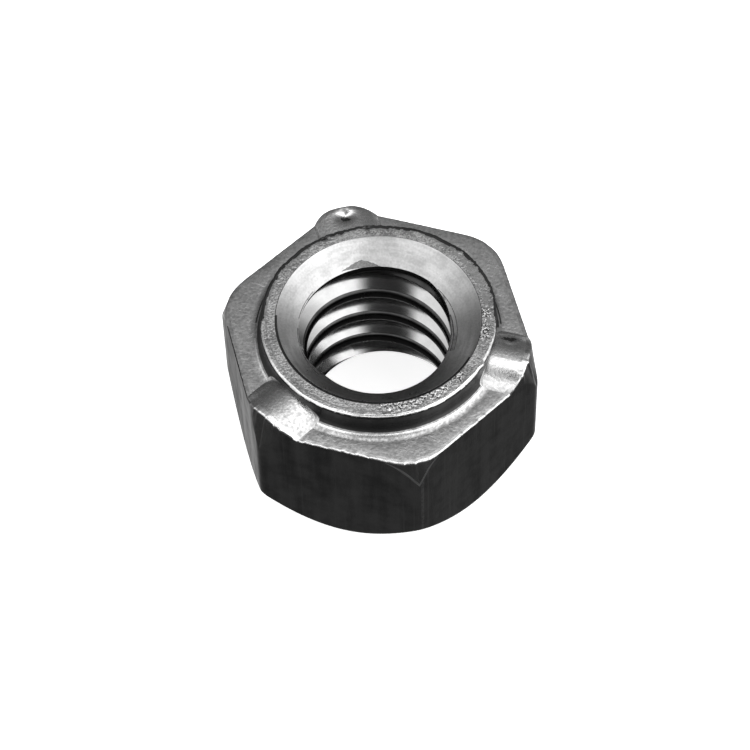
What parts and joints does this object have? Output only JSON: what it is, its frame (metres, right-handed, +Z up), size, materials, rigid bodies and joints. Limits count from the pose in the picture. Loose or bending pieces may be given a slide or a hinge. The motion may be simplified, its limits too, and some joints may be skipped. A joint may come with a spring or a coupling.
{
  "type": "hexagon weld nut",
  "caption": "Hexagon projection weld nut with a round locating collar, raised weld lugs on alternate corners and a countersunk threaded bore.",
  "frame": {"origin": "centre of the bottom face, on the thread axis", "axes": "+Z up the thread axis and out of the collar, +X towards one weld lug"},
  "size_m": [0.0108, 0.0096, 0.0059],
  "materials": {
    "steel": "bare cold-formed steel, dark flats, bright cut countersink and thread"
  },
  "bodies": {
    "root": {"weld_nut": "steel"}
  },
  "joints": []
}
